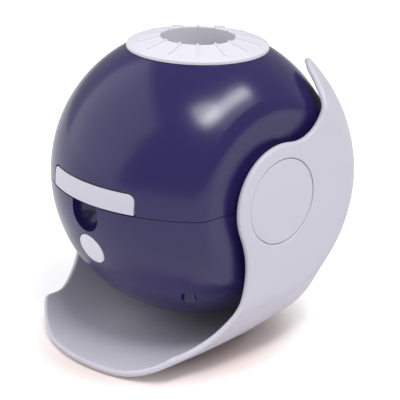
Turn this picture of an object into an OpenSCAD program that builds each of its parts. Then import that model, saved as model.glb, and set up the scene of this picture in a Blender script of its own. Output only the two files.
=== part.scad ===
// Star projector night light: a ball with a focus ring, a disc tray and a button, tilting in a cradle.
// Millimetres, +Z up, front towards -Y. The origin is on the table, under the middle of the footprint.

/* [Ball] */
// Radius of the ball
ball_r = 75; // [72:1:92]
// Distance from the middle of the ball to each of its flat sides
side_x = 57.6; // [55:0.2:61]
// Fillet between the round and a flat side
side_fillet = 12; // [6:1:16]
// Wall of the two ball shells
shell_wall = 2.5; // [2:0.1:3.2]
// Drop of the seam below the pivot axis
seam_drop = 1.5; // [1:0.1:2.5]
// Height of the lip that locks the two shells together
lip_h = 1.9; // [1:0.1:2.5]
// Width of the groove that marks the seam
seam_groove_w = 0.5; // [0.3:0.1:0.8]

/* [Cradle] */
// Space between the lowest point of the ball and the floor of the cradle
belly_gap = 8.4; // [6:0.2:14]
// Wall of the cradle
cradle_wall = 3.2; // [2.6:0.1:4]
// Space between the ball and the inside of the cradle
cradle_gap = 4.9; // [4:0.1:8]
// Reach of the tongue in front of the pivot axis
tongue_reach = 79.5; // [74:0.5:95]
// Radius of the lower corners at the front of the tongue
tongue_corner = 42; // [30:1:46]
// Radius of the lower corners at the back of the flat bottom
belly_corner = 58; // [48:1:62]
// Length of the flat bottom behind the pivot axis
base_back = 33; // [15:1:40]
// Radius of the round lug about the pivot
lug_r = 30; // [29:0.5:33]
// Radius of the scooped edge between the lug and the tongue
scoop_r = 44; // [38:1:50]
// Radius where the scooped edge runs out along the tongue
toe_r = 16; // [10:1:24]
// Height of the tongue's side edges above the table
lip_edge_h = 13.8; // [10:0.2:16]
// Height of the middle of the scooped edge above the tongue's side edges
scoop_h = 40.6; // [36:0.1:43]
// Slope of the horn's front edge, in degrees
horn_slope = 66; // [55:1:70]
// Height of the horn tips above the pivot axis
horn_h = 60.5; // [50:0.5:63]
// Radius of the rounded horn tips
horn_tip_r = 5; // [1:0.5:8]
// Width of the rear notch at its round bottom
notch_w = 44; // [36:1:50]
// Width of the rear notch between the horn tips
notch_top_w = 66; // [60:1:74]
// Depth of the rear notch's bottom below the pivot axis
notch_depth = 44; // [40:1:50]

/* [Pivot] */
// Radius of the pivot hub
hub_r = 9; // [7:0.5:10]
// Radius of the cap over the pivot
cap_r = 22.1; // [21:0.1:23]
// Thickness of the cap
cap_t = 1.4; // [1:0.1:2]
// Thickness of the friction washer
washer_t = 0.5; // [0.4:0.1:1]
// Thickness of the bush flange
bush_flange_t = 0.8; // [0.6:0.1:1.2]
// Thickness of the web that holds the bush
bush_web_t = 1.8; // [1.5:0.1:3]
// Depth of the space for the retaining ring
clip_space = 1.8; // [1.6:0.1:2.6]
// Furthest tilt to the front, in degrees
tilt_front = 40; // [30:1:42]
// Furthest tilt to the back, in degrees
tilt_back = 15; // [5:1:18]

/* [Disc tray] */
// Width of the tray plate on each side of the disc carrier
tray_side = 2.9; // [2.4:0.1:6]
// Height of the tray front's upper edge above the pivot axis
tray_top = 10; // [8:0.5:14]
// Thickness of the tray plate
tray_t = 2.2; // [1.8:0.1:3]
// Gear module of the disc drive
gear_module = 0.75; // [0.7:0.01:0.8]
// Teeth on the disc carrier
carrier_teeth = 72; // [66:1:74]
// Teeth on the motor pinion
pinion_teeth = 12; // [10:1:14]
// Width of the disc carrier's toothed rim around the disc
carrier_rim = 4.6; // [4:0.1:7]

/* [Optics] */
// Outer radius of the focus ring
ring_r = 36.4; // [34:0.2:40]
// Radius of the hole in the focus ring
ring_hole_r = 19; // [17:0.1:19.5]
// Height of the focus ring's rim above its outer edge
ring_rise = 5.6; // [4:0.1:7]
// Height of the focus ring's upright rim
ring_band = 1.2; // [0.6:0.1:2]
// Grip ribs on the focus ring
ring_ribs = 14; // [10:1:24]
// Focus travel each way
focus_travel = 4; // [2:0.5:4.5]
// Length of the lens barrel
barrel_len = 36; // [30:1:38]
// Radius of the condenser lens
condenser_r = 19.6; // [16:0.1:20]

/* [Button and socket] */
// Radius of the power button
button_r = 8.6; // [7:0.1:9]
// Angle of the button below the pivot axis, in degrees
button_angle = 21.1; // [20:0.1:26]
// Travel of the button
button_travel = 1.2; // [0.8:0.1:1.5]
// Radius of the finger recess
recess_r = 9.4; // [8:0.1:10]
// Depth of the finger recess below the pivot axis
recess_depth = 16.5; // [14:0.1:17]
// Drop of the power socket below the pivot axis
socket_drop = 16; // [14:0.5:20]

/* [Clearances] */
// Radial clearance of a shaft that turns or slides in its bore
run_gap = 0.07; // [0.03:0.01:0.1]
// Clearance between parts that move past each other
slide_gap = 0.3; // [0.2:0.05:0.5]
// Clearance between fixed parts that fit together
fit_gap = 0.1; // [0.05:0.01:0.2]

/* [Hidden] */
$fn = 72;
hull_fn = 64;

shell_purple = "#3d3763";
cradle_grey = "#d6d3e0";
cap_grey = "#cdcbd6";
ring_white = "#f1eff7";
part_black = "#26262b";
metal_grey = "#b9bcc2";
board_green = "#1f6b45";
lens_clear = "#cfe3ee";

big = 3 * ball_r;
floor_gap = 0.8;
pivot_y = (tongue_reach - sqrt(pow(back_r(), 2) - pow(notch_w / 2, 2))) / 2;
pivot_h = floor_gap + cradle_wall + belly_gap + ball_r;
floor_z = floor_gap - pivot_h;

// cradle
function back_r() = ball_r + cradle_gap + cradle_wall;
arm_x = side_x + washer_t + fit_gap + bush_flange_t + bush_web_t + clip_space + cap_t;
arm_fillet = 10;
boss_r = cap_r + 4;
boss_x = side_x + washer_t + fit_gap + bush_flange_t;
web_x = boss_x + bush_web_t;
cap_x = web_x + clip_space;
cap_seat_r = cap_r - 2.6;
belly_front_y = -tongue_reach - 8;
belly_steps = 6;
foot_r = 6;
foot_t = 3;
foot_x = arm_x - tongue_corner + 2;
foot_front_y = 22 - tongue_reach;
foot_back_y = base_back - 25;

// pivot
bush_r = hub_r + 2.5;
washer_r = hub_r + 6;
hub_flange_t = 2.3;
hub_inner_x = side_x - shell_wall - fit_gap - hub_flange_t;
hub_end_x = cap_x - 0.2;
clip_t = 0.8;
clip_x = web_x + 0.2;
groove_r = hub_r - 0.8;
stop_r = cap_seat_r + 3;
stop_pin_r = 1.4;
stop_depth = 1.4;

// deck, guides and tray, as heights above the pivot axis
seam_z = -seam_drop;
tray_z = seam_z + 0.5;
tray_upper_z = tray_z + tray_t;
rail_floor_z = tray_z - slide_gap;
deck_t = 2.5;
deck_z = rail_floor_z - 2.2;
deck_under_z = deck_z - deck_t;
gear_r = gear_module * carrier_teeth / 2;
pinion_r = gear_module * pinion_teeth / 2;
tooth_add = 0.8 * gear_module;
tooth_ded = 1.1 * gear_module;
tray_half = gear_r + tooth_add + tray_side;
plate_half = tray_half - 0.5;
rail_x = plate_half + slide_gap;
rail_t = 3;
rail_len = 54;
gear_backlash = 0.12;
pinion_y = gear_r + pinion_r + 0.05;
carrier_z = tray_upper_z + 0.2;
carrier_t = 3.6;
spigot_r = gear_r - 2.1;
disc_r = gear_r - carrier_rim;
disc_t = 1.2;
disc_z = carrier_z + carrier_t - disc_t - 0.2;
lip_x = gear_r + tooth_add + 2 * slide_gap;
front_t = 3;
front_gap = 0.4;
front_corner = 4;
deck_r = ball_r - 11;
tower_z = carrier_z + carrier_t + 3;
tower_t = 2.5;

// screw towers between the two shells
tower_r = 5.9;
tower_x = rail_x + rail_t + tower_r + 1.3;
tower_y = sqrt(pow(ball_r - 17.7, 2) - tower_x * tower_x);
counterbore_r = 3.9;
screw_r = 1.5;
screw_head_r = 2.9;
screw_seat_z = deck_under_z - 8;
small_screw_r = 1;
rail_screw_x = rail_x + rail_t / 2;
rail_screw_y = 36;
tower_screw_y = 14;

// focus ring and lens barrel
function ball_z(r) = sqrt(ball_r * ball_r - r * r);
ring_edge_z = ball_z(ring_r) + slide_gap;
ring_top_z = ring_edge_z + ring_rise + 0.4;
ring_lip_r = 1.4;
ring_turn = 7.6;
rib_w = 1.1;
rib_rise = 0.9;
edge_round = 0.8;
edge_centre_z = ring_edge_z + ring_band;
skirt_r = ring_r - 1.6;
well_r = skirt_r + slide_gap;
shelf_z = ring_edge_z - 4;
shelf_t = 2;
sleeve_r = ring_hole_r + 2.3;
neck_len = 15;
neck_end_z = shelf_z - neck_len;
sleeve_end_z = neck_end_z - slide_gap;
retainer_t = 1.8;
barrel_r = ring_hole_r - run_gap;
barrel_bore_r = barrel_r - 1.9;
barrel_top_z = ring_top_z - focus_travel - 6.5;
barrel_z = barrel_top_z - barrel_len;
lens_r = barrel_bore_r - 0.05;
guide_r = barrel_r + 3.4;
guide_wall = 2;
key_w = 3.8;
key_h = 6;
guide_top_z = barrel_z + key_h + focus_travel + 1.5;
rear_lens_z = barrel_z + 9.5;
front_lens_z = barrel_top_z - 8.8;

// lamp
lamp_r = condenser_r + 2.4;
lamp_bore_r = condenser_r + fit_gap;
lamp_depth = 30;
lens_seat_z = deck_under_z - 4.3;
lamp_floor_z = deck_under_z - lamp_depth;
lamp_ear_x = lamp_r + 3.5;
bracket_x = 13;
bracket_t = 1.6;
shaft_r = 1;

// button, in a frame with its own Z along the button's axis and its origin in the middle of the ball
button_hole_r = button_r + slide_gap;
collar_r = button_hole_r + 1.2;
collar_end = ball_r - 10.8;
button_flange_t = 1.2;
button_flange_z = collar_end - slide_gap - button_flange_t;
switch_top = button_flange_z - 5.5;
plunger_proud = button_travel + 0.5;
switch_h = 4;
switch_board_t = 1.2;
switch_post_r = 2.6;
switch_post_x = collar_r + switch_post_r + 0.8;
plunger_r = 1.7;

// power socket
socket_face_y = sqrt(pow(ball_r, 2) - pow(socket_drop, 2)) - 5.8;
socket_pocket_r = 7.5;
socket_nose_r = 4;
socket_body = 14;
board_t = 1.6;
board_y = socket_face_y - 2 - socket_body - board_t;
board_half = 20;
board_low_z = -42;

module at_pivot() translate([0, pivot_y, pivot_h]) children();
module along_x(x) translate([x, 0, 0]) rotate([0, 90, 0]) children();
module on_side(side) mirror([side < 0 ? 1 : 0, 0, 0]) children();
module at_button() rotate([90 + button_angle, 0, 0]) children();
module tube(outer, inner, h) difference() {
  cylinder(r = outer, h = h);
  translate([0, 0, -1]) cylinder(r = inner, h = h + 2);
}

// A ball with flat, filleted sides, as a solid of revolution about X, with its surface inset.
module flat_ball(radius, flat, fillet, inset) {
  r = radius - inset;
  x = flat - inset;
  f = max(fillet - inset, 1);
  fillet_x = x - f;
  fillet_y = sqrt(pow(r - f, 2) - pow(fillet_x, 2));
  tangent_x = fillet_x * r / (r - f);
  rotate([0, 90, 0]) rotate_extrude() {
    intersection() {
      circle(r);
      translate([0, -tangent_x]) square([r, 2 * tangent_x]);
    }
    translate([0, -x]) square([fillet_y, 2 * x]);
    for (side = [-1, 1]) translate([fillet_y, side * fillet_x]) circle(f);
  }
}
module ball_form(inset) flat_ball(ball_r, side_x, side_fillet, inset);
module below(z) translate([-big, -big, z - 2 * big]) cube(2 * big);
module above(z) translate([-big, -big, z]) cube(2 * big);

// ---- cradle ----

// One lower corner of the belly, t of the way from the front of the tongue to the back of the flat bottom.
module belly_corner_at(t, side, inset) {
  r = tongue_corner + (belly_corner - tongue_corner) * pow(t, 3);
  translate([side * (arm_x - r), belly_front_y + t * (base_back - belly_front_y), floor_z + r])
    rotate([90, 0, 0]) cylinder(r = r - inset, h = 0.1, $fn = hull_fn);
}

// The full outer form: the ball-shaped back blended into the long, flat-bottomed tongue.
module cradle_form(inset) hull() {
  flat_ball(back_r(), arm_x, arm_fillet, inset, $fn = hull_fn);
  for (i = [0:belly_steps], side = [-1, 1]) belly_corner_at(i / belly_steps, side, inset);
}

// The side outline of arms, tongue and horns in the (y, z) plane.
module side_outline() {
  lip_z = lip_edge_h - pivot_h;
  scoop_z = lip_z + scoop_h;
  scoop = [-sqrt(pow(scoop_r + lug_r + 0.2, 2) - pow(scoop_z, 2)), scoop_z];
  run_out = acos((toe_r - scoop_h) / (toe_r - scoop_r));
  toe = scoop + (scoop_r - toe_r) * [sin(run_out), -cos(run_out)];
  bend_r = 19.5;
  bend_y = 9.2;
  bend = [bend_y, sqrt(pow(lug_r + bend_r, 2) - bend_y * bend_y)];
  edge = bend + bend_r * [sin(horn_slope), -cos(horn_slope)];
  tip = edge + (horn_h - edge[1]) / sin(horn_slope) * [cos(horn_slope), sin(horn_slope)];
  tip_centre = tip + horn_tip_r * [tan(horn_slope / 2), -1];
  difference() {
    union() {
      circle(lug_r);
      polygon([scoop, [0, 0], bend, edge, tip, [big, tip[1]], [big, -big], [-big, -big], [-big, scoop[1]]]);
    }
    translate(scoop) intersection() {
      circle(scoop_r);
      polygon([[0, 0], 2 * scoop_r * [sin(run_out), -cos(run_out)],
        [2 * scoop_r, scoop_r], [0, 2 * scoop_r]]);
    }
    translate(toe) circle(toe_r);
    translate(bend) circle(bend_r);
    translate([-big, lip_z]) square([big + toe[0], big]);
    translate(tip_centre) difference() {
      polygon([[0, 0], 2 * horn_tip_r * [-sin(horn_slope), cos(horn_slope)], [0, 2 * horn_tip_r]]);
      circle(horn_tip_r);
    }
  }
}

// The notch between the two horns in the (x, z) plane.
module notch_outline() {
  r = notch_w / 2;
  lean = (notch_top_w / 2 - r) / (horn_h - r + notch_depth);
  translate([0, r - notch_depth]) circle(r);
  translate([0, r - notch_depth]) polygon([[-r, 0], [r, 0],
    [r + lean * 2 * ball_r, 2 * ball_r], [-r - lean * 2 * ball_r, 2 * ball_r]]);
}

module cradle() color(cradle_grey) at_pivot() difference() {
  union() {
    difference() {
      intersection() {
        cradle_form(0);
        rotate([90, 0, 90]) linear_extrude(2 * big, center = true) side_outline();
        union() {
          translate([0, 0, -big]) cylinder(r = tongue_reach, h = 2 * big);
          translate([-big, 0, -big]) cube(2 * big);
        }
      }
      cradle_form(cradle_wall);
      rotate([90, 0, 180]) linear_extrude(big) notch_outline();
    }
    for (side = [-1, 1]) on_side(side) along_x(boss_x)
      cylinder(r = boss_r, h = arm_x - cradle_wall - boss_x + 0.5);
    foot_places() translate([0, 0, floor_z]) cylinder(r = foot_r + 2, h = cradle_wall);
  }
  for (side = [-1, 1]) on_side(side) {
    along_x(boss_x - 1) cylinder(r = bush_r, h = arm_x);
    along_x(web_x) cylinder(r = cap_seat_r, h = arm_x);
    along_x(cap_x) cylinder(r = cap_r + slide_gap, h = arm_x);
    stop_groove();
  }
  foot_places() translate([0, 0, floor_z - 1]) cylinder(r = foot_r + fit_gap, h = 1 + foot_t - floor_gap);
}
module foot_places() for (x = [-foot_x, foot_x], y = [foot_front_y, foot_back_y])
  translate([x, y, 0]) children();

// The arc that the stop pin runs in, cut in the boss inside each arm.
module stop_groove() {
  w = stop_pin_r + slide_gap;
  along_x(boss_x - 1) rotate([0, 0, -tilt_back]) {
    rotate_extrude(angle = tilt_front + tilt_back) translate([stop_r - w, 0])
      square([2 * w, 1 + stop_depth]);
    for (a = [0, tilt_front + tilt_back]) rotate([0, 0, a]) translate([stop_r, 0, 0])
      cylinder(r = w - 0.05, h = 1 + stop_depth);
  }
}

module rubber_feet() color(part_black)
  translate([0, pivot_y, 0]) foot_places() cylinder(r = foot_r, h = foot_t);

module pivot_bush(side) color("white") at_pivot() on_side(side) difference() {
  union() {
    along_x(boss_x - bush_flange_t) cylinder(r = bush_r + 1.5, h = bush_flange_t);
    along_x(boss_x) cylinder(r = bush_r - 0.02, h = bush_web_t);
  }
  along_x(boss_x - 2) cylinder(r = hub_r + run_gap, h = bush_web_t + 4);
}
module left_pivot_bush() pivot_bush(-1);
module right_pivot_bush() pivot_bush(1);

module pivot_cap(side) color(cap_grey) at_pivot() on_side(side) {
  along_x(cap_x) cylinder(r = cap_r, h = cap_t);
  along_x(cap_x - 1) tube(cap_seat_r - fit_gap, cap_seat_r - 1.5, 1.2);
}
module left_pivot_cap() pivot_cap(-1);
module right_pivot_cap() pivot_cap(1);

// ---- ball shells ----

module hub_holes() for (side = [-1, 1]) on_side(side)
  along_x(side_x - shell_wall - 2) cylinder(r = hub_r + fit_gap, h = shell_wall + 4);
module tower_places() for (x = [-tower_x, tower_x], y = [-tower_y, tower_y])
  translate([x, y, 0]) children();

// The tray front's outline, seen from the front, grown by a gap.
module front_outline(gap) {
  corner = front_corner + gap;
  w = tray_half + gap;
  top = tray_top + gap;
  translate([-w, seam_z - 1]) square([2 * w, top - corner - seam_z + 1]);
  translate([-w + corner, seam_z]) square([2 * (w - corner), top - seam_z]);
  for (side = [-1, 1]) translate([side * (w - corner), top - corner]) circle(corner);
}
module towards_front() rotate([90, 0, 0]) linear_extrude(big) children();

module upper_shell() color(shell_purple) at_pivot() difference() {
  union() {
    difference() {
      ball_form(0);
      ball_form(shell_wall);
    }
    intersection() {
      ball_form(1);
      union() {
        translate([0, 0, shelf_z - shelf_t]) cylinder(r = ball_r, h = shelf_t);
        translate([0, 0, shelf_z - shelf_t]) cylinder(r = well_r + 2, h = ball_r);
        tower_places() translate([0, 0, deck_z]) cylinder(r = tower_r - 1.5, h = ball_r);
      }
    }
    translate([0, 0, neck_end_z]) cylinder(r = sleeve_r + run_gap + 2.2, h = neck_len);
  }
  difference() {
    below(seam_z);
    tower_places() translate([0, 0, deck_z]) cylinder(r = tower_r - 1.5, h = ball_r);
  }
  difference() {
    intersection() {
      ball_form(shell_wall / 2 - fit_gap / 2);
      below(seam_z + lip_h + fit_gap);
    }
    tower_places() translate([0, 0, deck_z]) cylinder(r = tower_r - 1.5, h = ball_r);
  }
  translate([0, 0, shelf_z]) cylinder(r = well_r, h = ball_r);
  translate([0, 0, neck_end_z - 1]) cylinder(r = sleeve_r + run_gap, h = ball_r);
  intersection() {
    difference() {
      ball_form(-1);
      ball_form(0.4);
    }
    below(seam_z + seam_groove_w);
  }
  towards_front() front_outline(front_gap);
  hub_holes();
  tower_places() translate([0, 0, deck_z - 1]) cylinder(r = screw_r + 0.05, h = 12);
}

module lower_shell() color(shell_purple) at_pivot() difference() {
  union() {
    difference() {
      union() {
        intersection() {
          ball_form(0);
          below(seam_z);
        }
        intersection() {
          ball_form(shell_wall / 2 + fit_gap / 2);
          below(seam_z + lip_h);
        }
      }
      ball_form(shell_wall);
      towards_front() translate([-tray_half - 1, seam_z]) square([2 * tray_half + 2, lip_h + 1]);
    }
    intersection() {
      ball_form(1);
      union() {
        tower_places() translate([0, 0, deck_under_z - ball_r]) cylinder(r = tower_r, h = ball_r);
        finger_scoop(recess_r + 1.5, seam_z);
        at_button() translate([0, 0, collar_end]) cylinder(r = collar_r, h = ball_r);
        for (side = [-1, 1]) at_button() translate([side * switch_post_x, 0, switch_top - switch_h])
          cylinder(r = switch_post_r, h = ball_r);
        translate([0, socket_face_y - 1.7, -socket_drop]) rotate([-90, 0, 0])
          cylinder(r = socket_pocket_r + 1.5, h = ball_r);
        board_rails();
      }
    }
    for (side = [-1, 1]) on_side(side) along_x(side_x - 1) translate([stop_r, 0, 0])
      cylinder(r = stop_pin_r, h = boss_x - side_x + 1 + stop_depth - slide_gap);
  }
  finger_scoop(recess_r, ball_r);
  at_button() translate([0, 0, collar_end - 1]) cylinder(r = button_hole_r, h = ball_r);
  for (side = [-1, 1]) at_button() translate([side * switch_post_x, 0, switch_top - switch_h - 1])
    cylinder(r = 0.9, h = 8);
  translate([0, socket_face_y, -socket_drop]) rotate([-90, 0, 0]) cylinder(r = socket_pocket_r, h = ball_r);
  translate([0, socket_face_y - 5, -socket_drop]) rotate([-90, 0, 0])
    cylinder(r = socket_nose_r + slide_gap, h = 10);
  hub_holes();
  tower_places() {
    translate([0, 0, screw_seat_z - ball_r]) cylinder(r = counterbore_r, h = ball_r);
    translate([0, 0, screw_seat_z - 1]) cylinder(r = screw_r + 0.2, h = 20);
  }
}

// The finger scoop under the tray front: a round-bottomed upright groove.
module finger_scoop(r, top) {
  centre_z = recess_r - recess_depth;
  translate([0, 1.5 - ball_r, centre_z]) {
    sphere(r);
    cylinder(r = r, h = top - centre_z);
  }
}

// Two grooved rails that hold the upright main board by its edges.
module board_rails() for (side = [-1, 1]) difference() {
  translate([side * board_half - 2.5, board_y - 3, deck_under_z - ball_r - 4])
    cube([5, board_t + 6, ball_r]);
  translate([side * (board_half - 1.5) - 1.5, board_y - fit_gap, board_low_z])
    cube([3, board_t + 2 * fit_gap, ball_r]);
}

// ---- pivot pieces that turn with the ball ----

module pivot_hub(side) color(metal_grey) at_pivot() on_side(side) difference() {
  union() {
    along_x(hub_inner_x) cylinder(r = hub_r + 4.5, h = hub_flange_t);
    along_x(hub_inner_x) cylinder(r = hub_r, h = hub_end_x - hub_inner_x);
  }
  along_x(clip_x) tube(hub_r + 1, groove_r, clip_t + 0.1);
  along_x(hub_inner_x - 1) cylinder(r = hub_r - 3, h = hub_end_x - hub_inner_x - 1);
}
module left_pivot_hub() pivot_hub(-1);
module right_pivot_hub() pivot_hub(1);

module hub_clips() color(metal_grey) at_pivot() for (side = [-1, 1]) on_side(side) difference() {
  along_x(clip_x + 0.05) tube(hub_r + 2.8, groove_r + 0.05, clip_t);
  along_x(clip_x - 1) translate([0, -2.5, -1]) cube([hub_r + 5, 5, clip_t + 4]);
}

module friction_washers() color(part_black) at_pivot() for (side = [-1, 1]) on_side(side)
  along_x(side_x) tube(washer_r, hub_r + 0.3, washer_t);

// A screw standing on its head's underside, with its shank up and a socket in its head.
module screw(head_r, shank_r, length) difference() {
  union() {
    translate([0, 0, -0.7 * head_r]) cylinder(r = head_r, h = 0.7 * head_r);
    cylinder(r = shank_r, h = length);
  }
  translate([0, 0, -0.7 * head_r - 1]) cylinder(r = 0.5 * head_r, h = 1 + 0.4 * head_r);
}
module shell_screws() color(metal_grey) at_pivot() tower_places() translate([0, 0, screw_seat_z])
  screw(screw_head_r, screw_r, deck_z - screw_seat_z + 9);

// ---- deck, guides and tower ----

module deck() color(part_black) at_pivot() translate([0, 0, deck_under_z]) difference() {
  intersection() {
    cylinder(r = deck_r, h = deck_t);
    translate([-hub_inner_x + 1, -big, 0]) cube([2 * hub_inner_x - 2, 2 * big, deck_t]);
  }
  translate([0, 0, -1]) cylinder(r = condenser_r - 1.2, h = deck_t + 2);
  translate([0, pinion_y, -1]) cylinder(r = 2.2, h = deck_t + 2);
  translate([-recess_r - 2.5, -big, -1]) cube([2 * recess_r + 5, big - ball_r + recess_r + 4, deck_t + 2]);
  tower_places() translate([0, 0, -1]) cylinder(r = screw_r + 0.2, h = deck_t + 2);
  rail_screw_places() translate([0, 0, -1]) cylinder(r = small_screw_r + 0.2, h = deck_t + 2);
  lamp_top_places() translate([0, 0, -1]) cylinder(r = small_screw_r + 0.05, h = deck_t + 2);
  bracket_places() translate([0, 0, -1]) cylinder(r = small_screw_r + 0.05, h = deck_t + 2);
}

module rail_screw_places() for (x = [-rail_screw_x, rail_screw_x], y = [-rail_screw_y, rail_screw_y])
  translate([x, y, 0]) children();
module tower_screw_places() for (x = [-rail_screw_x, rail_screw_x], y = [-tower_screw_y, tower_screw_y])
  translate([x, y, 0]) children();
module lamp_top_places() for (x = [-lamp_ear_x, lamp_ear_x]) translate([x, 0, 0]) children();
module lamp_floor_places() for (y = [-lamp_ear_x, lamp_ear_x]) translate([0, y, 0]) children();
module bracket_places() for (x = [-bracket_x, bracket_x]) translate([x, pinion_y, 0]) children();

// Rails on the deck: a floor strip, a side wall and a lip over the tray plate.
module tray_guides() color(part_black) at_pivot() difference() {
  for (side = [-1, 1]) on_side(side) rotate([90, 0, 0]) linear_extrude(2 * rail_len, center = true) {
    translate([rail_x, deck_z]) square([rail_t, tower_z - deck_z]);
    translate([rail_x - 5, deck_z]) square([6, rail_floor_z - deck_z]);
    translate([lip_x, tray_upper_z + slide_gap]) square([rail_x - lip_x + 1, 1.5]);
  }
  rail_screw_places() translate([0, 0, deck_z - 1]) cylinder(r = small_screw_r + 0.05, h = 8);
  tower_screw_places() translate([0, 0, tower_z - 6]) cylinder(r = small_screw_r + 0.05, h = 8);
}

// The bridge over the tray, with the tube that keeps the lens barrel from turning.
module optics_tower() color(part_black) at_pivot() difference() {
  union() {
    translate([-rail_x - rail_t, -18, tower_z]) cube([2 * (rail_x + rail_t), 36, tower_t]);
    translate([0, 0, tower_z]) cylinder(r = guide_r + 4, h = tower_t);
    translate([0, 0, tower_z]) cylinder(r = guide_r + guide_wall, h = guide_top_z - tower_z);
  }
  translate([0, 0, tower_z - 1]) cylinder(r = guide_r, h = ball_r);
  translate([-ball_r, -key_w / 2 - slide_gap, barrel_z - focus_travel - 1])
    cube([2 * ball_r, key_w + 2 * slide_gap, ball_r]);
  tower_screw_places() translate([0, 0, tower_z - 1]) cylinder(r = small_screw_r + 0.2, h = tower_t + 2);
}

module deck_screws() color(metal_grey) at_pivot() {
  rail_screw_places() translate([0, 0, deck_under_z]) screw(2, small_screw_r, deck_t + 6);
  tower_screw_places() translate([0, 0, tower_z + tower_t]) rotate([180, 0, 0])
    screw(2, small_screw_r, tower_t + 5);
}

// ---- lamp ----

module ears(z, t, turned, hole) difference() {
  rotate([0, 0, turned]) for (side = [-1, 1]) translate([side * lamp_ear_x, 0, z]) {
    cylinder(r = 4, h = t);
    translate([side < 0 ? 0 : -lamp_ear_x + lamp_bore_r, -4, 0]) cube([lamp_ear_x - lamp_bore_r, 8, t]);
  }
  rotate([0, 0, turned]) for (side = [-1, 1]) translate([side * lamp_ear_x, 0, z - 1])
    cylinder(r = hole, h = t + 2);
}

module lamp_housing() color(metal_grey) at_pivot() {
  difference() {
    translate([0, 0, lamp_floor_z]) cylinder(r = lamp_r, h = lamp_depth);
    translate([0, 0, lens_seat_z]) cylinder(r = lamp_bore_r, h = lamp_depth);
    translate([0, 0, lens_seat_z - 2]) cylinder(r = condenser_r - 1.6, h = lamp_depth);
    translate([0, 0, lamp_floor_z - 1]) cylinder(r = lamp_bore_r, h = lens_seat_z - lamp_floor_z - 0.5);
  }
  ears(deck_under_z - 2.5, 2.5, 0, small_screw_r + 0.2);
  ears(lamp_floor_z, 2.5, 90, small_screw_r + 0.05);
}

// A spherical cap standing on the plane z = 0.
module dome(r, h) {
  sphere_r = (r * r + h * h) / (2 * h);
  intersection() {
    translate([0, 0, h - sphere_r]) sphere(sphere_r, $fn = 200);
    cylinder(r = r, h = h + 1);
  }
}
module condenser_lens() color(lens_clear) at_pivot() {
  translate([0, 0, lens_seat_z]) cylinder(r = condenser_r, h = deck_under_z - 0.2 - lens_seat_z);
  translate([0, 0, lens_seat_z]) mirror([0, 0, 1]) dome(condenser_r - 2, 5);
}

module led_board() color("white") at_pivot() translate([0, 0, lamp_floor_z])
  cylinder(r = condenser_r - 0.2, h = 1.6);
module led_emitter() color("gold") at_pivot() translate([0, 0, lamp_floor_z + 1.6]) {
  translate([-3.5, -3.5, 0]) cube([7, 7, 0.9]);
  translate([0, 0, 0.9]) dome(2.6, 2.2);
}

module heat_sink() color(metal_grey) at_pivot() {
  translate([0, 0, lamp_floor_z - 3]) {
    cylinder(r = lamp_r, h = 3);
    intersection() {
      translate([0, 0, -10]) cylinder(r = lamp_r - 1, h = 11);
      for (i = [-4:4]) translate([i * 4.4 - 0.7, -lamp_r, -10]) cube([1.4, 2 * lamp_r, 11]);
    }
  }
  ears(lamp_floor_z - 3, 3, 90, small_screw_r + 0.2);
}

module lamp_screws() color(metal_grey) at_pivot() {
  lamp_top_places() translate([0, 0, deck_under_z - 2.5]) screw(2, small_screw_r, 4.5);
  lamp_floor_places() translate([0, 0, lamp_floor_z - 3]) screw(2, small_screw_r, 5);
  bracket_places() translate([0, 0, deck_under_z - bracket_t]) screw(2, small_screw_r, bracket_t + 2);
}

// ---- disc drive ----

function inv(a) = tan(a) * 180 / PI - a;
// Half the angle that a tooth takes up at radius r, for a gear of pitch radius p with n teeth.
function tooth_angle(p, n, r) = 90 / n - gear_backlash / p * 90 / PI
  + inv(20) - inv(acos(min(1, p * cos(20) / r)));
// An involute gear with a tooth on its local X axis.
module gear_outline(p, n) {
  low = p - tooth_ded;
  high = p + tooth_add;
  base = max(low, p * cos(20));
  radii = [low, base, (base + high) / 2, high];
  polygon([for (i = [0:n - 1], k = [-4, -3, -2, -1, 1, 2, 3, 4])
    let (r = radii[k < 0 ? k + 4 : 4 - k])
    let (turn = 360 * i / n + sign(k) * tooth_angle(p, n, max(r, base)))
    r * [cos(turn), sin(turn)]]);
}

module motor() color(metal_grey) at_pivot() translate([0, pinion_y, deck_under_z - bracket_t])
  difference() {
  union() {
    translate([-6, -5, -9]) cube([12, 10, 9]);
    intersection() {
      translate([0, 0, -24]) cylinder(r = 6, h = 15.5);
      translate([-6, -5, -25]) cube([12, 10, 17]);
    }
    cylinder(r = 2.5, h = bracket_t);
  }
  translate([0, 0, -5]) cylinder(r = shaft_r + run_gap, h = 10);
}

module motor_bracket() color(metal_grey) at_pivot() translate([0, pinion_y, deck_under_z - bracket_t])
  difference() {
  translate([-bracket_x - 4, -5, 0]) cube([2 * bracket_x + 8, 10, bracket_t]);
  translate([0, 0, -1]) cylinder(r = 2.6, h = bracket_t + 2);
  for (x = [-bracket_x, bracket_x]) translate([x, 0, -1])
    cylinder(r = small_screw_r + 0.2, h = bracket_t + 2);
}

module motor_pinion() color("white") at_pivot() translate([0, pinion_y, 0]) {
  translate([0, 0, carrier_z]) rotate([0, 0, 180 / pinion_teeth - 90]) linear_extrude(carrier_t)
    gear_outline(pinion_r, pinion_teeth);
  translate([0, 0, deck_under_z - bracket_t - 4])
    cylinder(r = shaft_r, h = carrier_z - deck_under_z + bracket_t + 5);
}

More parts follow.
